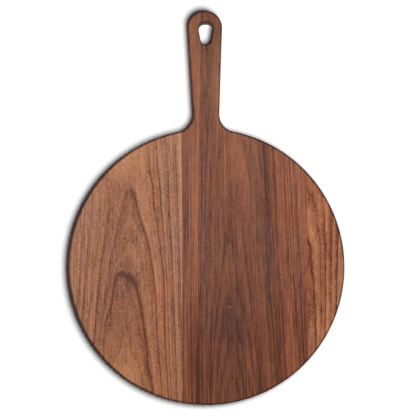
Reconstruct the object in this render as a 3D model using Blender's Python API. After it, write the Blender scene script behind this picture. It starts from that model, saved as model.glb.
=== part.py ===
"""Round paddle cutting board: three walnut staves edge-glued into a panel, sawn to a round with a handle.

Metres, +Z up. The origin is the centre of the round on the underside, and the handle points along +Y.
The whole board is shaped first, as in the shop, and each stave and glue line is then a slice of it.
"""

import math

import bmesh
import bpy
from mathutils import Vector

# The round
ROUND_DIAMETER = 0.280
THICKNESS = 0.015
EDGE_ROUNDING = 0.0025  # radius of the rounding along the outline, on both faces

# The handle
OVERALL_LENGTH = 0.400  # from the foot of the round to the handle's end
HANDLE_END_WIDTH = 0.035  # across the semicircular end
HANDLE_ROOT_WIDTH = 0.0254  # between its straight sides, carried down to the top of the round
HANDLE_ROOT_SHIFT = 0.0008  # how far to the right of the middle the root is, so the left side tapers more
SHOULDER_RADIUS = 0.018  # hollow between a handle side and the round

# The hanging hole, an egg with its blunt end towards the handle's end
HOLE_END_MARGIN = 0.0123  # wood left between the hole and the handle's end
HOLE_LENGTH = 0.0225
HOLE_BLUNT_WIDTH = 0.0147
HOLE_CORNER_RADIUS = 0.0060  # at both corners of the blunt end
HOLE_NARROW_WIDTH = 0.0108
HOLE_SIDE_SHIFT = 0.0009  # how far to the right of the handle's middle it is cut
HOLE_ROUNDING = 0.0017  # radius of the rounding along the hole, on both faces

# The glued edge joints, which run along the handle's direction
LEFT_JOINT_OFFSET = 0.0246  # from the handle's centre line to the left-hand joint
RIGHT_STAVE_WIDTH = 0.0380  # from the right-hand joint to the rim of the round
GLUE_THICKNESS = 0.0002

# Facets
ARC_ERROR = 0.00004  # how far a facet may stray from a true arc
ROUNDING_STEPS = 5

# Finish of each piece: colour and roughness
PALE_WALNUT = ((0.270, 0.130, 0.078), 0.48)
DARK_WALNUT = ((0.158, 0.068, 0.043), 0.48)
AMBER_WALNUT = ((0.250, 0.108, 0.056), 0.48)
DRIED_GLUE = ((0.070, 0.030, 0.018), 0.60)


def arc(centre, radius, start, end):
    """Points along an arc from angle start to angle end, both included."""
    step = 2 * math.acos(1 - ARC_ERROR / radius)
    count = max(2, math.ceil(abs(end - start) / step))
    angles = [start + (end - start) * i / count for i in range(count + 1)]
    return [centre + radius * Vector((math.cos(a), math.sin(a))) for a in angles]


def outline_half(side):
    """One half of the outline, from the foot of the round up to the middle of the handle's end.

    Side is 1 for the right half and -1 for the left, which is drawn as if it lay on the right.
    """
    round_radius = ROUND_DIAMETER / 2
    end_radius = HANDLE_END_WIDTH / 2
    end_centre = Vector((0, OVERALL_LENGTH - round_radius - end_radius))
    root = Vector((HANDLE_ROOT_WIDTH / 2 + side * HANDLE_ROOT_SHIFT, round_radius))

    # A side of the handle is the tangent from the root to the end circle, which gives its outward normal.
    to_root = root - end_centre
    normal_angle = math.atan2(to_root.y, to_root.x) + math.acos(end_radius / to_root.length)
    outward = Vector((math.cos(normal_angle), math.sin(normal_angle)))
    upward = Vector((-outward.y, outward.x))

    # The shoulder's centre lies one shoulder radius outside both the side and the round.
    across = outward.dot(root) + SHOULDER_RADIUS
    along = math.sqrt((round_radius + SHOULDER_RADIUS) ** 2 - across**2)
    shoulder_centre = across * outward + along * upward
    round_angle = math.atan2(shoulder_centre.y, shoulder_centre.x)

    points = arc(Vector((0, 0)), round_radius, -math.pi / 2, round_angle)
    points += arc(shoulder_centre, SHOULDER_RADIUS, round_angle + math.pi, normal_angle + math.pi)[1:]
    points += arc(end_centre, end_radius, normal_angle, math.pi / 2)
    return points


def hole_span():
    """Where the hanging hole ends along the handle: its narrow foot and its blunt top."""
    top = OVERALL_LENGTH - ROUND_DIAMETER / 2 - HOLE_END_MARGIN
    return top - HOLE_LENGTH, top


def hole_half():
    """The right half of the hanging hole, from its blunt top down to its narrow foot, before its side shift."""
    foot, top = hole_span()
    narrow_radius = HOLE_NARROW_WIDTH / 2
    corner_centre = Vector((HOLE_BLUNT_WIDTH / 2 - HOLE_CORNER_RADIUS, top - HOLE_CORNER_RADIUS))
    narrow_centre = Vector((0, foot + narrow_radius))
    # The flank touches the corner and the narrow end, so both arcs stop at the flank's normal.
    rise = corner_centre - narrow_centre
    flank = math.atan2(rise.y, rise.x) - math.acos((narrow_radius - HOLE_CORNER_RADIUS) / rise.length)
    points = [Vector((0, top))]
    points += arc(corner_centre, HOLE_CORNER_RADIUS, math.pi / 2, flank)
    points += arc(narrow_centre, narrow_radius, flank, -math.pi / 2)
    return points


def near_hole(place, shift):
    """Whether a place on the board is on the hanging hole's edge, with the hole shifted sideways this far."""
    foot, top = hole_span()
    beside = abs(place.x - shift) < HOLE_BLUNT_WIDTH / 2 + HOLE_ROUNDING / 2
    return beside and foot - HOLE_ROUNDING / 2 < place.y < top + HOLE_ROUNDING / 2


def on_centre_line(points):
    points[0].x = 0
    points[-1].x = 0
    return points


def sawn_blank():
    """The panel sawn to its outline and hole, still square-edged: two half faces, joined and extruded."""
    blank = bmesh.new()
    for side in (1, -1):
        half = on_centre_line(outline_half(side)) + on_centre_line(hole_half())
        blank.faces.new([blank.verts.new((side * p.x, p.y, 0)) for p in half])
    bmesh.ops.remove_doubles(blank, verts=blank.verts[:], dist=1e-7)
    hole = [v for v in blank.verts if near_hole(v.co, 0)]
    bmesh.ops.translate(blank, vec=(HOLE_SIDE_SHIFT, 0, 0), verts=hole)
    bmesh.ops.recalc_face_normals(blank, faces=blank.faces[:])
    raised = bmesh.ops.extrude_face_region(blank, geom=blank.faces[:], use_keep_orig=True)["geom"]
    top = [v for v in raised if isinstance(v, bmesh.types.BMVert)]
    bmesh.ops.translate(blank, vec=(0, 0, THICKNESS), verts=top)
    bmesh.ops.recalc_face_normals(blank, faces=blank.faces[:])
    return blank


def round_over(board, rims, radius):
    bmesh.ops.bevel(
        board,
        geom=rims,
        offset=radius,
        offset_type="OFFSET",
        segments=ROUNDING_STEPS,
        profile=0.5,
        affect="EDGES",
        clamp_overlap=False,
    )


def shaped_board():
    """The finished board in one mesh, with the rims of its outline and of its hole rounded over."""
    board = sawn_blank()
    hole_rims = []
    outer_rims = []
    for edge in board.edges:
        first, second = (v.co for v in edge.verts)
        middle = (first + second) / 2
        level = abs(first.z - second.z) < THICKNESS / 2
        if level and edge.calc_face_angle(0) > math.radians(45):
            (hole_rims if near_hole(middle, HOLE_SIDE_SHIFT) else outer_rims).append(edge)
    round_over(board, hole_rims, HOLE_ROUNDING)
    round_over(board, outer_rims, EDGE_ROUNDING)
    return board


def slice_of(board, low_x=None, high_x=None):
    """The part of the board between two planes across X, closed with the flat faces that are glued."""
    piece = board.copy()
    for x, away in ((low_x, -1), (high_x, 1)):
        if x is None:
            continue
        everything = piece.verts[:] + piece.edges[:] + piece.faces[:]
        cut = bmesh.ops.bisect_plane(
            piece, geom=everything, dist=1e-7, plane_co=(x, 0, 0), plane_no=(away, 0, 0), clear_outer=True
        )["geom_cut"]
        for vert in cut:
            if isinstance(vert, bmesh.types.BMVert):
                vert.co.x = x
        bmesh.ops.holes_fill(piece, edges=[e for e in piece.edges if e.is_boundary], sides=0)
    flat = math.radians(0.05)
    bmesh.ops.dissolve_limit(piece, angle_limit=flat, verts=piece.verts[:], edges=piece.edges[:])
    bmesh.ops.recalc_face_normals(piece, faces=piece.faces[:])
    return piece


def finish(name, colour, roughness):
    material = bpy.data.materials.new(name)
    material.use_nodes = True
    shader = material.node_tree.nodes["Principled BSDF"]
    shader.inputs["Base Color"].default_value = (*colour, 1)
    shader.inputs["Roughness"].default_value = roughness
    return material


def add_piece(name, shape, look, paddle):
    mesh = bpy.data.meshes.new(name)
    shape.to_mesh(mesh)
    shape.free()
    mesh.shade_smooth()
    mesh.set_sharp_from_angle(angle=math.radians(40))
    mesh.materials.append(look)
    piece = bpy.data.objects.new(name, mesh)
    piece.parent = paddle
    bpy.context.scene.collection.objects.link(piece)


def main():
    for old in list(bpy.data.objects):
        bpy.data.objects.remove(old)
    paddle = bpy.data.objects.new("paddle_board", None)
    bpy.context.scene.collection.objects.link(paddle)

    left_joint = -LEFT_JOINT_OFFSET
    right_joint = ROUND_DIAMETER / 2 - RIGHT_STAVE_WIDTH
    film = GLUE_THICKNESS / 2
    board = shaped_board()
    left = slice_of(board, high_x=left_joint - film)
    left_glue = slice_of(board, left_joint - film, left_joint + film)
    centre = slice_of(board, left_joint + film, right_joint - film)
    right_glue = slice_of(board, right_joint - film, right_joint + film)
    right = slice_of(board, low_x=right_joint + film)
    board.free()

    glue = finish("dried_glue", *DRIED_GLUE)
    add_piece("left_stave", left, finish("pale_walnut", *PALE_WALNUT), paddle)
    add_piece("left_glue_line", left_glue, glue, paddle)
    add_piece("centre_stave", centre, finish("dark_walnut", *DARK_WALNUT), paddle)
    add_piece("right_glue_line", right_glue, glue, paddle)
    add_piece("right_stave", right, finish("amber_walnut", *AMBER_WALNUT), paddle)


main()
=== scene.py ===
# Round paddle cutting board: three walnut staves glued edge to edge, sawn round with a handle, rims eased
import math

import bmesh
import bpy
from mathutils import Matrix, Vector


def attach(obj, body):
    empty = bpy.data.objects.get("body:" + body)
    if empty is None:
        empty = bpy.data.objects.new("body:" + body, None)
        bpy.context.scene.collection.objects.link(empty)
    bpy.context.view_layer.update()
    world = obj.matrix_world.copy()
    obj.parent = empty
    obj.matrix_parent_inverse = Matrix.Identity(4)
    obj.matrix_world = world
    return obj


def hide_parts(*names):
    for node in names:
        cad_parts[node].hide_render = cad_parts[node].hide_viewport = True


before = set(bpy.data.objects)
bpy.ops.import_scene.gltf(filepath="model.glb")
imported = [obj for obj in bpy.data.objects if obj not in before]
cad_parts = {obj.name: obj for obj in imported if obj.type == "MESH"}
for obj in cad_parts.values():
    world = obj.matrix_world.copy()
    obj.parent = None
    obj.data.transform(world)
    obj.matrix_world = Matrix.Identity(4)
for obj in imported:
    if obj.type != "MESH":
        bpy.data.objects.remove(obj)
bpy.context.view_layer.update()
millimetres = 1000  # in a metre
print("frame loaded:", ", ".join(sorted(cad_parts)))


# One wire of a shader. Maths on wires adds Math nodes, and node() adds any other node.
class Wire:
    def __init__(self, tree, socket=None):
        self.tree, self.socket = tree, socket

    def node(self, kind, settings=None, sockets=None, out=0):
        made = self.tree.nodes.new(kind)
        for name, value in (settings or {}).items():
            setattr(made, name, value)
        for key, value in (sockets or {}).items():
            if isinstance(value, Wire):
                self.tree.links.new(value.socket, made.inputs[key])
            else:
                made.inputs[key].default_value = value
        return Wire(self.tree, made.outputs[out]) if made.outputs else None

    def maths(self, operation, *values, clamp=False):
        settings = {"operation": operation, "use_clamp": clamp}
        return self.node("ShaderNodeMath", settings, dict(enumerate(values)))

    def __add__(self, other):
        return self.maths("ADD", self, other)

    def __sub__(self, other):
        return self.maths("SUBTRACT", self, other)

    def __rsub__(self, other):
        return self.maths("SUBTRACT", other, self)

    def __mul__(self, other):
        return self.maths("MULTIPLY", self, other)

    def __truediv__(self, other):
        return self.maths("DIVIDE", self, other)

    def __pow__(self, other):
        return self.maths("POWER", self, other)

    def __abs__(self):
        return self.maths("ABSOLUTE", self)

    # self * slope + base, held between 0 and 1
    def ramp(self, slope, base):
        return self.maths("MULTIPLY_ADD", self, slope, base, clamp=True)

    def scaled(self, *stretch):
        return self.node("ShaderNodeVectorMath", {"operation": "MULTIPLY"}, {0: self, 1: stretch})

    def parts(self):
        return [self.node("ShaderNodeSeparateXYZ", None, {0: self}, out=n) for n in range(3)]

    def noise(self, detail=1.0, roughness=0.5):
        sockets = {"Vector": self, "Scale": 1.0, "Detail": detail, "Roughness": roughness}
        return self.node("ShaderNodeTexNoise", {"noise_dimensions": "3D"}, sockets) - 0.5

    def blended(self, first, second):
        settings = {"data_type": "RGBA", "clamp_factor": False}
        return self.node("ShaderNodeMix", settings, {0: self, 6: first, 7: second}, out=2)


# An empty material, and a loose wire to start its nodes from
def newMaterial(name):
    material = bpy.data.materials.new(name)
    material.use_nodes = True
    material.node_tree.nodes.clear()
    return material, Wire(material.node_tree)


# Where a point lies on its piece, in millimetres
def placeOn(start):
    return start.node("ShaderNodeTexCoord", out="Object").scaled(millimetres, millimetres, millimetres)


def colour(red, green, blue):
    return (red, green, blue, 1.0)


# The whole panel is sawn and eased first, and each stave is then ripped out of it.
panel = {  # metres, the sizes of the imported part
    "roundRadius": 0.140,
    "thickness": 0.015,
    "length": 0.400,
    "handleEndRadius": 0.0175,
    "handleRootWidth": 0.0254,
    "handleRootShift": 0.0008,  # the left side tapers more
    "shoulderRadius": 0.018,
    "easedEdge": 0.0025,
    "holeMargin": 0.0123,
    "holeLength": 0.0225,
    "holeHalfWidth": 0.00735,
    "holeCornerRadius": 0.0060,
    "holeNarrowRadius": 0.0054,
    "holeShift": 0.0009,
    "easedHole": 0.0017,
    "leftSeam": -0.0246,
    "rightSeam": 0.1020,
    "glue": 0.0002,
    "roundSteps": 220,
    "shoulderSteps": 28,
    "endSteps": 44,
    "holeSteps": 24,
    "easedSteps": 8,
    "weld": 1e-6,  # points closer than this are one
    "sawSlack": 1e-7,
    "rimAngle": 1.0,  # radians, a level edge that turns more is a rim
    "shadingAngle": 40,  # degrees, a sharper edge shades as an edge
}


# Carries a vertex round a centre, leaves the arc behind it and gives the vertex at the far end.
def swung(blank, start, centre, angle, steps):
    turned = bmesh.ops.spin(
        blank, geom=[start], cent=(*centre, 0), axis=(0, 0, 1),
        angle=angle, steps=steps, use_duplicate=False,
    )
    return next(v for v in turned["geom_last"] if isinstance(v, bmesh.types.BMVert))


def drawnTo(blank, start, place):
    end = bmesh.ops.extrude_vert_indiv(blank, verts=[start])["verts"][0]
    bmesh.ops.translate(blank, vec=Vector((*place, 0)) - end.co, verts=[end])
    return end


# One half of the outline and of the hole, drawn on the right and flipped over for the left
def sawnHalf(blank, flip):
    others = set(blank.verts)
    topOfRound = panel["roundRadius"]
    endRadius = panel["handleEndRadius"]
    endCentre = Vector((0, panel["length"] - topOfRound - endRadius))
    root = Vector((panel["handleRootWidth"] / 2 + flip * panel["handleRootShift"], topOfRound))
    toRoot = root - endCentre
    # a handle side runs from its root and touches the end circle
    sideAngle = math.atan2(toRoot.y, toRoot.x) + math.acos(endRadius / toRoot.length)
    outward = Vector((math.cos(sideAngle), math.sin(sideAngle)))
    upward = Vector((-outward.y, outward.x))
    # the hollow of the shoulder touches the side and the round
    across = outward.dot(root) + panel["shoulderRadius"]
    along = math.sqrt((topOfRound + panel["shoulderRadius"]) ** 2 - across**2)
    shoulder = across * outward + along * upward
    roundAngle = math.atan2(shoulder.y, shoulder.x)

    foot = blank.verts.new((0, -topOfRound, 0))
    tip = swung(blank, foot, (0, 0), roundAngle + math.pi / 2, panel["roundSteps"])
    tip = swung(blank, tip, shoulder, sideAngle - roundAngle, panel["shoulderSteps"])
    tip = drawnTo(blank, tip, endCentre + endRadius * outward)
    tip = swung(blank, tip, endCentre, math.pi / 2 - sideAngle, panel["endSteps"])

    holeTop = panel["length"] - topOfRound - panel["holeMargin"]
    holeFoot = holeTop - panel["holeLength"]
    cornerRadius, narrowRadius = panel["holeCornerRadius"], panel["holeNarrowRadius"]
    corner = Vector((panel["holeHalfWidth"] - cornerRadius, holeTop - cornerRadius))
    narrow = Vector((0, holeFoot + narrowRadius))
    rise = corner - narrow
    # a flank touches a corner of the blunt end and the narrow end
    flankAngle = math.atan2(rise.y, rise.x) - math.acos((narrowRadius - cornerRadius) / rise.length)
    flank = Vector((math.cos(flankAngle), math.sin(flankAngle)))
    crown = blank.verts.new((0, holeTop, 0))
    egg = drawnTo(blank, crown, (corner.x, holeTop))
    egg = swung(blank, egg, corner, flankAngle - math.pi / 2, panel["holeSteps"])
    egg = drawnTo(blank, egg, narrow + narrowRadius * flank)
    egg = swung(blank, egg, narrow, -math.pi / 2 - flankAngle, panel["holeSteps"])
    for vert in (foot, tip, crown, egg):
        vert.co.x = 0
    blank.edges.new((tip, crown))
    blank.edges.new((egg, foot))
    half = [v for v in blank.verts if v not in others]
    bmesh.ops.contextual_create(blank, geom=list({e for v in half for e in v.link_edges}))
    bmesh.ops.scale(blank, vec=(flip, 1, 1), verts=half)


# On the edge of the hole, which is sawn a little to the right of the handle's middle
def nearHole(place, shift):
    holeTop = panel["length"] - panel["roundRadius"] - panel["holeMargin"]
    slack = panel["easedHole"] / 2
    beside = abs(place.x - shift) < panel["holeHalfWidth"] + slack
    return beside and holeTop - panel["holeLength"] - slack < place.y < holeTop + slack


def eased(blank, rims, radius):
    bmesh.ops.bevel(
        blank, geom=rims, offset=radius, offset_type="OFFSET", segments=panel["easedSteps"], profile=0.5,
        affect="EDGES", material=-1, clamp_overlap=False,
    )


def sawnPanel():
    blank = bmesh.new()
    sawnHalf(blank, 1)
    sawnHalf(blank, -1)
    bmesh.ops.remove_doubles(blank, verts=blank.verts[:], dist=panel["weld"])
    hole = [v for v in blank.verts if nearHole(v.co, 0)]
    bmesh.ops.translate(blank, vec=(panel["holeShift"], 0, 0), verts=hole)
    bmesh.ops.recalc_face_normals(blank, faces=blank.faces[:])
    raised = bmesh.ops.extrude_face_region(blank, geom=blank.faces[:], use_keep_orig=True)["geom"]
    top = [v for v in raised if isinstance(v, bmesh.types.BMVert)]
    bmesh.ops.translate(blank, vec=(0, 0, panel["thickness"]), verts=top)
    bmesh.ops.recalc_face_normals(blank, faces=blank.faces[:])
    holeRims, outerRims = [], []
    for edge in blank.edges:
        first, second = (v.co for v in edge.verts)
        upright = abs(first.z - second.z) > panel["thickness"] / 2
        if upright or edge.calc_face_angle(0) < panel["rimAngle"]:
            continue
        inHole = nearHole((first + second) / 2, panel["holeShift"])
        (holeRims if inHole else outerRims).append(edge)
    eased(blank, holeRims, panel["easedHole"])
    eased(blank, outerRims, panel["easedEdge"])
    return blank


# The part of the panel between two sawcuts, with its sawn faces closed
def ripped(whole, fromX=None, toX=None):
    stave = whole.copy()
    for x, away in ((fromX, -1), (toX, 1)):
        if x is None:
            continue
        everything = stave.verts[:] + stave.edges[:] + stave.faces[:]
        bmesh.ops.bisect_plane(
            stave, geom=everything, dist=panel["sawSlack"],
            plane_co=(x, 0, 0), plane_no=(away, 0, 0), clear_outer=True,
        )
        bmesh.ops.holes_fill(stave, edges=[e for e in stave.edges if e.is_boundary], sides=0)
    bmesh.ops.recalc_face_normals(stave, faces=stave.faces[:])
    return stave


def laidOut(name, shape, material):
    mesh = bpy.data.meshes.new(name)
    shape.to_mesh(mesh)
    shape.free()
    mesh.shade_smooth()
    mesh.set_sharp_from_angle(angle=math.radians(panel["shadingAngle"]))
    mesh.materials.append(material)
    piece = bpy.data.objects.new(name, mesh)
    bpy.context.scene.collection.objects.link(piece)
    flatter = piece.modifiers.new("flat faces stay flat", "WEIGHTED_NORMAL")
    flatter.keep_sharp = True
    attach(piece, "root")
    return piece


# What the three walnuts share. A stretch is across, along and down the stave: the larger, the finer.
anyWalnut = {
    "wander": (0.045, 0.014, 0.045),
    "fray": (0.9, 0.10, 0.9),
    "warmth": (0.05, 0.012, 0.05),
    "rings": (1.0, 0.007, 0.01),
    "threads": (0.8, 0.005, 0.8),
    "hues": (0.4, 0.006, 0.4),
    "fibre": (1.1, 0.06, 1.1),
    "streaks": (0.7, 0.22, 0.7),
    "flecks": (1.6, 0.42, 1.6),
    "pores": (2.1, 0.16, 2.1),
    "mottle": (0.06, 0.018, 0.06),
    "figure": (0.24, 0.12, 0.24),
    "ringCrumbs": 0.7,  # how much of the rings' noise is fine
    "hueShift": 175,  # keeps the hues apart from the threads
    "archSlope": 2.0,
    "archFineness": -0.6,
    "warmthContrast": 0.6,
    "sideRamp": (0.15, 0.5),  # ramps have a slope and a base
    "fanRamp": (0.01, 0.2),
    "poreRamp": (7.0, -0.7),
    "endGrainRamp": (1.25, -0.25),
    # the rims' darkening: partly oil and handling, partly painted shade where a rim leans away from the top
    "rimLeanRamp": (1.35, 0.0),
    "rimFaceRamp": (4.0, 0.35),
    "rimAcrossRamp": (0.8, 0.6),
    # painted shade: the middle of the board is darkened to even out the soft box's brighter light there
    "middle": (-0.40, 20, 50, 200, 170),  # a patch: the middle of the board is a little darker
    "darkestTone": -0.15,
    "cool": colour(0.940, 1.043, 1.148),
    "warm": colour(1.060, 0.955, 0.868),
    "plain": colour(1.0, 1.0, 1.0),
    "rosy": colour(1.120, 0.920, 0.920),
    "roughness": 0.50,
    "fibreRoughness": 0.12,
    "poreRoughness": 0.14,
    "fibreRelief": 0.5,
    "reliefStrength": 0.35,
    "reliefDepth": 0.00012,
    "gloss": 0.04,
}


# Solid walnut. A stave's rings lie round a pith that leans under the board, pushed aside here and there
# by swells, so its face shows arches and its edges show the same rings. Everything here is in millimetres.
def walnut(name, look):
    material, start = newMaterial(name)
    place = placeOn(start)
    x, y, z = place.parts()

    def hump(middleX, middleY, wideX, wideY):
        across = (x - middleX) / wideX
        along = (y - middleY) / wideY
        return place.maths("EXPONENT", 0 - (across * across + along * along))

    def spread(rows, total):
        for lift, *where in rows:
            total = hump(*where) * lift + total
        return total

    # a straight band along the stave, which leans and fades towards its ends
    def band(fromX, toX, lean, soft, middleY, wideY):
        across = x - y * lean
        inside = (across - fromX).ramp(1 / soft, 0.5) * (toX - across).ramp(1 / soft, 0.5)
        along = (y - middleY) / wideY
        return inside * place.maths("EXPONENT", 0 - along * along)

    def joined(across, along, down):
        return place.node("ShaderNodeCombineXYZ", None, {0: across, 1: along, 2: down})

    def grained(kind, where=place, detail=1.0, crumbs=0.5):
        return where.scaled(*anyWalnut[kind]).noise(detail, crumbs)

    # how far from the pith
    pith = look["pith"]
    side = spread(look["swells"], x - (y * pith["turn"] + y * y * pith["bow"] + pith["x"]))
    height = y * pith["lean"] + (z + (pith["depth"] - panel["thickness"] * millimetres))
    radius = (side * side + height * height) ** 0.5
    # how steeply the rings meet the face: flat at an arch's top, steep down its legs
    slopeX = side / radius
    slopeY = height / radius * pith["lean"] + pith["taper"]
    slope = (slopeX * slopeX + slopeY * slopeY) ** 0.5
    wander = grained("wander", detail=2.0) * look["wander"]
    fray = grained("fray") * look["fray"]
    rings = radius + y * pith["taper"] + (wander + fray) * slope
    # keeps the arches' tops from smearing
    finer = (slope * anyWalnut["archSlope"]) ** anyWalnut["archFineness"]

    # dark late wood: each line fades in from the pith's side and ends in a thin dark core
    lateWood = 0
    rightward = side.ramp(*anyWalnut["sideRamp"])
    for level, darkLeft, darkRight, fade, edge in look["lines"]:
        past = rings - level
        shaded = past * finer
        inner = shaded.ramp(1 / fade, 1)
        dark = rightward * (darkRight - darkLeft) + darkLeft
        core = abs(past / slope).ramp(-1 / look["coreWidth"], 1) * look["coreShare"]
        line = inner * inner * shaded.ramp(-1 / (edge * look["edgeShare"]), 1)
        lateWood = (line * look["lineShare"] + core) * dark + lateWood
    tone = y * look["drift"] + look["tone"] - lateWood * spread(look["linePatches"], 1)
    # the first patch is painted shade that evens out the soft box's brighter light on the middle
    tone = spread([anyWalnut["middle"], *look["patches"]], tone)
    warmth = spread(look["warmPatches"], grained("warmth") * anyWalnut["warmthContrast"])
    blush = spread(look["blushPatches"], 0)
    for lift, redder, *where in look["bands"]:
        strip = band(*where)
        tone = strip * lift + tone
        blush = strip * redder + blush

    # rings between the lines, and long threads, which fan out a little towards the right
    fineRings = grained("rings", joined(rings * look["ringScale"], y, z), 2.0, anyWalnut["ringCrumbs"])
    thread = x - y * (x.ramp(*anyWalnut["fanRamp"]) * look["fan"])
    threads = grained("threads", joined(thread, y, z))
    hues = grained("hues", joined(thread + anyWalnut["hueShift"], y, z))
    tone = tone + threads * look["threadContrast"] * spread(look["threadPatches"], 1)
    blush = hues * look["hueContrast"] + blush
    tone = tone + fineRings * look["ringContrast"] * spread(look["ringPatches"], 1)

    # fibres along the stave, flecks and short pores
    fibre = grained("fibre")
    pores = grained("pores").ramp(*anyWalnut["poreRamp"])
    tone = tone + grained("mottle") * look["mottle"] + grained("figure") * look["figure"]
    grain = fibre * look["fibreContrast"] + grained("streaks") * look["streakContrast"]
    grain = grain + grained("flecks") * look["fleckContrast"]
    tone = tone + grain * spread(look["fibrePatches"], 1) - pores * look["poreContrast"]

    # end grain is darker; oil and handling darken the rounded rims, most where they cross the grain, and
    # painted shade darkens them too, more the further a rim leans away from the top
    along, up = (abs(part) for part in start.node("ShaderNodeNewGeometry", out="Normal").parts()[1:])
    endGrain = along.ramp(*anyWalnut["endGrainRamp"])
    leaning = (1 - up * up) ** 0.5
    # painted shade: a rim darkens as its normal leans away from straight up, like a round-over turning from
    # overhead light, mixed with oil and handling
    rimOilAndShade = leaning.ramp(*anyWalnut["rimLeanRamp"]) * up.ramp(*anyWalnut["rimFaceRamp"])
    rimOilAndShade = rimOilAndShade * along.ramp(*anyWalnut["rimAcrossRamp"])
    tone = tone - endGrain * look["endGrain"] - rimOilAndShade * look["rimOilAndShade"]

    wood = tone.maths("MAXIMUM", tone, anyWalnut["darkestTone"]).blended(look["dark"], look["light"])
    warmer = warmth.ramp(1, 0.5).blended(anyWalnut["cool"], anyWalnut["warm"])
    redder = blush.blended(anyWalnut["plain"], anyWalnut["rosy"])
    for tint in (warmer, redder):
        settings = {"data_type": "RGBA", "blend_type": "MULTIPLY"}
        wood = wood.node("ShaderNodeMix", settings, {0: 1.0, 6: wood, 7: tint}, out=2)

    roughness = fibre * anyWalnut["fibreRoughness"] + pores * anyWalnut["poreRoughness"]
    relief = fibre * anyWalnut["fibreRelief"] - pores
    bump = relief.node("ShaderNodeBump", None, {
        "Strength": anyWalnut["reliefStrength"], "Distance": anyWalnut["reliefDepth"], "Height": relief,
    })
    shader = wood.node("ShaderNodeBsdfPrincipled", None, {
        "Base Color": wood, "Roughness": roughness + anyWalnut["roughness"],
        "Specular IOR Level": anyWalnut["gloss"], "Normal": bump,
    })
    shader.node("ShaderNodeOutputMaterial", None, {"Surface": shader})
    return material


board = sawnPanel()
print("panel sawn and eased:", len(board.faces), "faces")

film = panel["glue"] / 2
leftCut, rightCut = panel["leftSeam"], panel["rightSeam"]

# Most rows of the staves' swells, lines and colour patches, and each pith, were fitted to the photograph by
# scratch programs and then rounded; the other rows were added by hand

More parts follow.
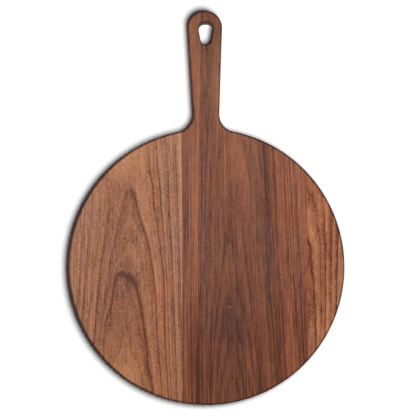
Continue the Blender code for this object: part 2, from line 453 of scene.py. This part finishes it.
# The pale flat-sawn stave, with tall arches
leftStave = {
    "pith": {
        "x": -75.26, "turn": 0.0320, "bow": 0.000034,
        "depth": 38.51, "lean": 0.0501, "taper": 0.0150,
    },
    "swells": [  # push, middle x, middle y, width x, width y
        (-6.9, -88, -75, 11, 26),
        (-6.4, -87, -49, 5, 45),
        (10.3, -87, -8, 9, 23),
        (10.4, -86, -64, 20, 59),
        (6.4, -67, 60, 15, 31),
        (21.5, -99, 101, 29, 16),
        (6.7, -102, -69, 5, 28),
        (4.0, -76, -81, 8, 18),
        (-2.0, -48, -19, 7, 30),
        (2.8, -63, -105, 5, 19),
        (-0.6, -26, 46, 8, 15),
        (-0.5, -49, -116, 9, 16),
        (0.7, -109, 64, 10, 13),
    ],
    "lines": [  # ring, darkness left and right of the pith, fade, edge
        (20.50, 0.30, 0.30, 2.0, 0.5),
        (24.60, 0.35, 0.35, 2.2, 0.5),
        (29.20, 0.30, 0.30, 2.2, 0.5),
        (34.65, 0.20, 0.30, 2.4, 1.6),
        (38.15, 0.45, 0.60, 4.0, 1.6),
        (43.60, 0.20, 0.50, 4.0, 1.6),
        (48.60, 0.30, 0.45, 2.1, 1.6),
        (51.30, -0.05, 0.45, 2.8, 1.6),
        (53.55, 0.15, 0.20, 1.9, 1.1),
        (55.05, 0.15, 0.20, 2.0, 0.9),
        (56.20, -0.15, 0.45, 2.8, 1.0),
        (60.15, 0.35, 0.25, 2.0, 1.4),
        (61.75, -0.05, 0.50, 2.5, 1.2),
        (65.15, 0.35, -0.25, 3.3, 1.6),
    ],
    "tone": 1.03,
    "drift": 0.0009,  # for each mm up the stave
    "patches": [  # lift, middle x, middle y, width x, width y
        (-0.35, -89, 4, 29, 130),
        (0.35, -83, 115, 21, 18),
        (0.50, -82, -117, 13, 26),
        (0.15, -72, 14, 6, 13),
        (-0.10, -71, 57, 7, 33),
        (0.20, -64, 70, 6, 15),
        (0.05, -31, -127, 24, 31),
        (-0.10, -112, -42, 14, 16),
        (-0.10, -40, 85, 14, 16),
        (-0.25, -81, -66, 22, 25),
        (-0.10, -21, 42, 27, 65),
        (-0.20, -63, -113, 8, 60),
        (-0.25, -87, -23, 12, 14),
        (-0.30, -79, 86, 12, 13),
        (0.10, -107, 1, 6, 75),
        (0.20, -58, -40, 4, 26),
        (-0.20, -124, 19, 5, 25),
        (-0.30, -82, -7, 6, 3),
        (0.10, -86, -142, 17, 90),
        (-0.10, -37, -115, 3, 95),
        (0.25, -65, 99, 5, 13),
    ],
    "wander": 1.2,
    "fray": 0.4,
    "warmPatches": [  # lift, middle x, middle y, width x, width y
        (0.45, -63, -84, 35, 70),
        (-0.35, -30, 92, 16, 140),
        (-0.35, -130, 25, 7, 135),
        (-0.65, -121, 73, 7, 35),
        (0.30, -44, -58, 6, 140),
        (-0.45, -80, -7, 9, 21),
        (0.20, -58, 69, 9, 27),
        (-0.45, -127, 118, 8, 130),
        (0.35, -86, -114, 19, 40),
        (0.45, -71, 101, 11, 13),
        (-0.20, -95, 73, 6, 65),
    ],
    "blushPatches": [  # lift, middle x, middle y, width x, width y
        (-0.55, -84, -108, 17, 32),
        (0.50, -127, 52, 9, 75),
        (-0.55, -71, 108, 13, 21),
        (0.25, -92, 45, 8, 60),
        (0.25, -61, -94, 8, 65),
    ],
    "bands": [  # lift, blush, from x, to x, lean, softness, middle y, width y
        (0.24, -0.25, -26.0, -24.0, 0.0, 0.6, 70.0, 95.0),
    ],
    "fan": 0.0,
    "threadContrast": 0.5,
    "threadPatches": [  # change, middle x, middle y, width x, width y
        (2.0, -124, 10, 14, 90),
    ],
    "hueContrast": 1.0,
    "linePatches": [  # change, middle x, middle y, width x, width y
        (-0.9, -99, 80, 9, 14),
    ],
    "ringPatches": [  # change, middle x, middle y, width x, width y
        (0.4, -122, 10, 15, 90),
        (-0.25, -75, -70, 40, 45),
        (-0.8, -99, 80, 10, 15),
    ],
    "fibrePatches": [],
    "coreWidth": 0.7,
    "coreShare": 1.0,
    "edgeShare": 0.5,
    "lineShare": 0.75,
    "ringScale": 0.6,
    "ringContrast": 1.4,
    "fibreContrast": 0.8,
    "mottle": 0.25,
    "figure": 0.45,
    "streakContrast": 0.55,
    "fleckContrast": 1.5,
    "poreContrast": 0.18,
    # rim darkening: oil and handling, and painted shade on the leaning rims
    "rimOilAndShade": 1.5,
    "endGrain": 0.45,
    "dark": colour(0.171, 0.067, 0.042),
    "light": colour(0.484, 0.216, 0.119),
}
leftShape = ripped(board, toX=leftCut - film)
left = laidOut("leftStave", leftShape, walnut("pale walnut", leftStave))
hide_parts("left_stave")

# The dark stave with the handle on it
centreStave = {
    "pith": {
        "x": 28.10, "turn": -0.0309, "bow": -0.000055,
        "depth": 70.04, "lean": -0.0222, "taper": 0.0421,
    },
    "swells": [  # push, middle x, middle y, width x, width y
        (6.9, 28, -6, 11, 58),
        (12.5, 24, -97, 21, 67),
        (-4.2, 20, -87, 7, 60),
        (-6.7, 52, 111, 31, 70),
        (-6.5, 25, -96, 13, 35),
    ],
    "lines": [  # ring, darkness left and right of the pith, fade, edge
        (56.00, 0.25, 0.25, 0.5, 1.2),
        (58.90, 0.25, 0.25, 0.5, 1.2),
        (61.60, 0.30, 0.30, 0.5, 1.2),
        (64.80, 0.25, 0.25, 0.5, 1.2),
        (67.35, -0.10, -0.10, 0.4, 0.4),
        (67.80, 0.25, 0.25, 0.4, 1.0),
        (68.15, -0.10, -0.10, 0.4, 0.4),
        (68.60, 0.25, 0.25, 0.4, 1.0),
        (68.95, -0.10, -0.10, 0.4, 0.4),
        (69.40, 0.25, 0.25, 0.4, 1.0),
        (70.10, -0.10, -0.10, 0.4, 0.4),
        (70.55, 0.20, 0.25, 0.4, 1.0),
        (71.15, -0.10, -0.10, 0.4, 0.4),
        (71.60, 0.15, 0.20, 0.4, 1.0),
        (75.05, 0.15, -0.05, 4.0, 1.0),
        (76.25, 0.20, 0.10, 4.0, 1.6),
        (77.95, 0.35, 0.30, 2.4, 1.5),
        (79.50, -0.25, 0.20, 3.5, 1.1),
        (80.60, -0.25, 0.05, 2.2, 0.6),
        (81.75, -0.20, 0.20, 1.5, 0.9),
        (82.85, -0.25, 0.20, 1.5, 0.8),
        (82.90, 0.15, -0.10, 0.7, 0.6),
        (84.20, -0.10, -0.20, 1.8, 0.9),
        (85.95, 0.25, 0.05, 0.6, 0.3),
        (88.15, -0.25, -0.25, 3.9, 1.6),
        (90.20, 0.00, -0.15, 2.4, 0.5),
        (93.50, 0.00, -0.15, 1.8, 1.1),
        (97.20, 0.00, 0.10, 0.9, 0.5),
        (101.00, 0.00, -0.25, 4.0, 1.6),
    ],
    "tone": 0.71,
    "drift": 0.0017,  # for each mm up the stave
    "patches": [  # lift, middle x, middle y, width x, width y
        (0.25, 36, 126, 6, 80),
        (0.25, 100, 86, 6, 80),
        (-0.15, 19, -56, 24, 31),
        (0.10, -4, 14, 12, 40),
        (-0.10, 20, 56, 13, 40),
        (0.10, 76, -112, 24, 30),
        (0.15, 84, 99, 6, 31),
        (-0.10, 60, 70, 12, 40),
        (-0.10, 36, -84, 12, 40),
        (0.15, 43, 70, 6, 30),
        (-0.10, -13, -98, 6, 30),
        (-0.15, 28, -28, 6, 12),
        (0.15, 12, 182, 6, 30),
        (0.45, -5, 183, 45, 40),
        (-0.45, -2, 198, 15, 75),
        (0.20, 24, -145, 7, 70),
        (-0.25, 23, -64, 13, 18),
        (-0.15, 58, 83, 8, 90),
        (-0.25, 31, 75, 6, 19),
        (-0.15, 90, -60, 9, 25),
        (-0.20, 38, 22, 4, 34),
        (-0.45, 23.1, -36.9, 1.3, 1.5),  # a pin knot
        (0.75, 23.7, -40.4, 1.1, 0.8),
        (-0.15, -27, 266, 45, 100),
        (0.25, 78, 54, 4, 27),
        (0.10, -14, 89, 4, 70),
        (-0.10, 7, -96, 15, 31),
    ],
    "wander": 0.4,
    "fray": 0.3,
    "warmPatches": [  # lift, middle x, middle y, width x, width y
        (0.75, 66, -59, 32, 70),
        (-0.35, -19, 152, 45, 140),
        (-0.60, 61, -34, 13, 140),
        (-0.70, 26, -57, 13, 26),
        (0.40, 75, 64, 22, 45),
        (0.45, -14, -94, 10, 55),
        (0.45, 56, -99, 7, 32),
        (-0.25, 0, 42, 5, 125),
        (0.40, 23, 41, 9, 20),
        (-0.45, -22, 68, 5, 140),
        (-0.35, 94, 6, 6, 70),
    ],
    "blushPatches": [  # lift, middle x, middle y, width x, width y
        (-0.25, 10, 203, 45, 55),
        (-0.55, 42, 152, 11, 50),
        (-0.40, 82, 71, 6, 140),
        (0.25, 17, 58, 13, 40),
        (0.20, 94, -46, 4, 90),
        (0.30, 21, -92, 4, 37),
    ],
    "bands": [  # lift, blush, from x, to x, lean, softness, middle y, width y
        (0.08, 0.30, -40.0, -7.1, 0.0105, 1.5, -40.0, 200.0),
        (0.00, 0.40, 72.0, 130.0, -0.0300, 12.0, 0.0, 200.0),
        (0.12, 0.10, -40.0, -7.1, 0.0105, 0.8, 195.0, 70.0),
        (0.16, 0.00, -10.2, -7.3, 0.0105, 0.8, 195.0, 70.0),
        (-0.20, -0.28, -6.9, 6.0, 0.0105, 1.0, 195.0, 60.0),
        (0.00, -0.30, 6.0, 20.0, 0.0, 1.0, 210.0, 45.0),
        (0.00, 0.60, 3.0, 11.0, 0.0, 5.0, -95.0, 45.0),
        (0.20, 0.00, 62.0, 65.0, -0.25, 2.0, 112.0, 24.0),
        (0.10, 0.00, -26.0, -21.5, 0.0, 2.0, 80.0, 40.0),
    ],
    "fan": -0.04,
    "threadContrast": 1.3,
    "threadPatches": [  # change, middle x, middle y, width x, width y
        (2.2, -16, 0, 9, 160),
        (0.9, 87, 0, 18, 400),
        (-0.6, 24, -50, 25, 85),
        (-0.7, 2, 200, 7, 70),
    ],
    "hueContrast": 2.0,
    "linePatches": [  # change, middle x, middle y, width x, width y
        (-0.85, 0, 195, 40, 55),
        (-0.15, 28, -65, 30, 45),
        (-0.4, 22, 45, 12, 25),
    ],
    "ringPatches": [  # change, middle x, middle y, width x, width y
        (-0.4, -16, 0, 9, 130),
        (0.4, 87, 0, 16, 120),
        (-0.75, 0, 195, 40, 50),
        (-0.85, 26, -45, 26, 85),
        (-0.35, 62, -20, 18, 120),
    ],
    "fibrePatches": [  # change, middle x, middle y, width x, width y
        (0.3, 0, 195, 40, 55),
        (0.4, 87, 0, 16, 120),
        (-0.35, 20, -65, 30, 50),
    ],
    "coreWidth": 0.6,
    "coreShare": 0.8,
    "edgeShare": 1.0,
    "lineShare": 0.8,
    "ringScale": 1.0,
    "ringContrast": 1.6,
    "fibreContrast": 1.1,
    "mottle": 0.15,
    "figure": 0.35,
    "streakContrast": 0.35,
    "fleckContrast": 1.0,
    "poreContrast": 0.09,
    # rim darkening: oil and handling, and painted shade on the leaning rims
    "rimOilAndShade": 1.3,
    "endGrain": 0.30,
    "dark": colour(0.111, 0.0415, 0.0265),
    "light": colour(0.318, 0.117, 0.061),
}
centreShape = ripped(board, leftCut + film, rightCut - film)
centre = laidOut("centreStave", centreShape, walnut("dark walnut", centreStave))
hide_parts("centre_stave")

# The narrow amber stave
rightStave = {
    "pith": {
        "x": 93.61, "turn": 0.1101, "bow": 0.000002,
        "depth": 54.47, "lean": 0.0402, "taper": 0.0150,
    },
    "swells": [  # push, middle x, middle y, width x, width y
        (6.9, 102, -72, 5, 75),
        (-2.1, 106, 23, 10, 12),
    ],
    "lines": [  # ring, darkness left and right of the pith, fade, edge
        (41.50, 0.35, 0.35, 2.0, 0.6),
        (45.30, 0.35, 0.35, 2.0, 0.6),
        (48.80, 0.40, 0.40, 2.2, 0.6),
        (52.60, 0.35, 0.35, 2.2, 0.6),
        (56.20, 0.00, 0.80, 4.0, 1.2),
        (58.65, 0.30, 0.40, 3.6, 1.6),
        (60.60, 0.00, 0.70, 3.8, 1.3),
        (63.20, 0.00, 0.50, 4.0, 0.8),
        (63.80, 0.00, 0.45, 1.4, 1.1),
        (66.95, 0.00, 0.75, 4.0, 1.1),
    ],
    "tone": 1.08,
    "drift": -0.00247,  # for each mm up the stave
    "patches": [  # lift, middle x, middle y, width x, width y
        (0.25, 122, -64, 4, 29),
        (0.35, 119, 58, 7, 20),
        (0.10, 106, 30, 12, 22),
        (0.15, 116, 58, 10, 24),
        (0.15, 129, 7, 6, 14),
        (-0.10, 106, 25, 15, 40),
        (0.15, 109, -72, 6, 12),
    ],
    "wander": 0.8,
    "fray": 0.4,
    "warmPatches": [  # lift, middle x, middle y, width x, width y
        (-0.40, 137, -10, 10, 37),
        (0.30, 103, -22, 4, 10),
        (0.25, 127, 18, 5, 11),
        (-0.35, 140, -93, 23, 110),
    ],
    "blushPatches": [],
    "bands": [  # lift, blush, from x, to x, lean, softness, middle y, width y
        (0.00, 0.30, 90.0, 104.5, 0.0, 3.0, 0.0, 200.0),
    ],
    "fan": 0.0,
    "threadContrast": 0.3,
    "threadPatches": [],
    "hueContrast": 1.2,
    "linePatches": [],
    "ringPatches": [],
    "fibrePatches": [],
    "coreWidth": 0.6,
    "coreShare": 0.6,
    "edgeShare": 0.6,
    "lineShare": 0.9,
    "ringScale": 0.7,
    "ringContrast": 1.1,
    "fibreContrast": 1.1,
    "mottle": 0.2,
    "figure": 0.55,
    "streakContrast": 0.6,
    "fleckContrast": 1.5,
    "poreContrast": 0.25,
    # rim darkening: oil and handling, and painted shade on the leaning rims
    "rimOilAndShade": 1.5,
    "endGrain": 0.35,
    "dark": colour(0.168, 0.048, 0.023),
    "light": colour(0.486, 0.190, 0.089),
}
rightShape = ripped(board, fromX=rightCut + film)
right = laidOut("rightStave", rightShape, walnut("amber walnut", rightStave))
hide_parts("right_stave")
print("three staves ripped")


# Dried glue, thin enough to look like a hairline in the wood
glueLine = {
    "runs": (0.4, 0.09, 0.4),  # stretch across, along and down
    "runContrast": 2.2,
    "amber": colour(0.150, 0.062, 0.036),
    "brown": colour(0.090, 0.036, 0.022),
    "roughness": 0.42,
    "runRoughness": 0.2,
    "reliefStrength": 0.2,
    "reliefDepth": 0.0001,
    "gloss": 0.05,
}


def driedGlue():
    material, start = newMaterial("dried glue")
    runs = placeOn(start).scaled(*glueLine["runs"]).noise(2.0)
    hue = runs.ramp(glueLine["runContrast"], 0.5).blended(glueLine["amber"], glueLine["brown"])
    bump = runs.node("ShaderNodeBump", None, {
        "Strength": glueLine["reliefStrength"], "Distance": glueLine["reliefDepth"], "Height": runs,
    })
    shader = hue.node("ShaderNodeBsdfPrincipled", None, {
        "Base Color": hue, "Roughness": runs * glueLine["runRoughness"] + glueLine["roughness"],
        "Specular IOR Level": glueLine["gloss"], "Normal": bump,
    })
    shader.node("ShaderNodeOutputMaterial", None, {"Surface": shader})
    return material


glue = driedGlue()
leftGlue = laidOut("leftGlueLine", ripped(board, leftCut - film, leftCut + film), glue)
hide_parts("left_glue_line")
rightGlue = laidOut("rightGlueLine", ripped(board, rightCut - film, rightCut + film), glue)
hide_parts("right_glue_line")
board.free()
print("two glue lines laid")


# White floor, and one soft box close above the right half of the board, turned towards the left
studio = {
    "floorHalf": 0.32,
    "floorSeen": 1.04,  # what the camera sees
    "floorBounce": 0.8,  # what lights the board
    "box": Vector((0.10, 0.045, 0.48)),
    "boxAim": Vector((-0.35, 0.12, 0.0)),
    "boxWidth": 0.26,
    "boxLevel": 1.31,  # shows a colour about as written
    "skyLevel": 0.03,
}


def seenDirectly(start):
    kinds = ("Is Camera Ray", "Is Glossy Ray", "Is Transmission Ray")
    camera, glossy, through = (start.node("ShaderNodeLightPath", out=kind) for kind in kinds)
    return start.maths("MAXIMUM", start.maths("MAXIMUM", camera, glossy), through)


def whiteFloor():
    sheet = bmesh.new()
    bmesh.ops.create_grid(sheet, x_segments=1, y_segments=1, size=studio["floorHalf"])
    mesh = bpy.data.meshes.new("floor")
    sheet.to_mesh(mesh)
    sheet.free()
    material, start = newMaterial("white floor")
    # the soft box lights the near floor more, so the floor gets paler away from it and looks evenly white
    x, y = start.node("ShaderNodeTexCoord", out="Object").parts()[:2]
    across, along = x - studio["box"].x, y - studio["box"].y
    height = studio["box"].z
    aim = (studio["boxAim"] - studio["box"]).normalized()
    distance = across * across + along * along + height**2
    facing = across * aim.x + along * aim.y - height * aim.z
    lit = facing * (studio["boxLevel"] * height**3) / (distance * distance)
    seen = lit**-1 * studio["floorSeen"]
    bounce = colour(*[studio["floorBounce"]] * 3)
    paint = seenDirectly(start).blended(bounce, seen)
    shader = paint.node("ShaderNodeBsdfDiffuse", None, {"Color": paint})
    shader.node("ShaderNodeOutputMaterial", None, {"Surface": shader})
    mesh.materials.append(material)
    floor = bpy.data.objects.new("floor", mesh)
    bpy.context.scene.collection.objects.link(floor)


def softLight():
    lamp = bpy.data.lights.new("softBox", "AREA")
    lamp.shape = "DISK"
    lamp.size = studio["boxWidth"]
    lamp.energy = studio["boxLevel"] * (math.pi * studio["box"].z) ** 2
    holder = bpy.data.objects.new("softBox", lamp)
    holder.location = studio["box"]
    holder.rotation_euler = (studio["boxAim"] - studio["box"]).to_track_quat("-Z", "Y").to_euler()
    bpy.context.scene.collection.objects.link(holder)
    world = bpy.data.worlds.new("studio")
    world.use_nodes = True
    world.node_tree.nodes.clear()
    seen = seenDirectly(Wire(world.node_tree))
    level = seen * (1 - studio["skyLevel"]) + studio["skyLevel"]
    sky = level.node("ShaderNodeBackground", None, {"Color": colour(1, 1, 1), "Strength": level})
    sky.node("ShaderNodeOutputWorld", None, {"Surface": sky})
    bpy.context.scene.world = world


whiteFloor()
softLight()

# Straight above the board, which lies turned a hair to the left
view = {
    "overX": 0.00199,
    "overY": 0.05980,
    "planeZ": 0.0125,  # where the outline is widest
    "distance": 0.95,
    "frameWidth": 0.42205,
    "sensorWidth": 36,  # millimetres
    "roll": -0.387,  # degrees
}
lens = bpy.data.cameras.new("overhead")
lens.sensor_width = view["sensorWidth"]
lens.lens = view["sensorWidth"] * view["distance"] / view["frameWidth"]
overhead = bpy.data.objects.new("overhead", lens)
overhead.location = (view["overX"], view["overY"], view["planeZ"] + view["distance"])
overhead.rotation_euler = (0, 0, math.radians(view["roll"]))
bpy.context.scene.collection.objects.link(overhead)
bpy.context.scene.camera = overhead
bpy.context.scene.view_settings.view_transform = "Standard"
print("floor, light and camera set")
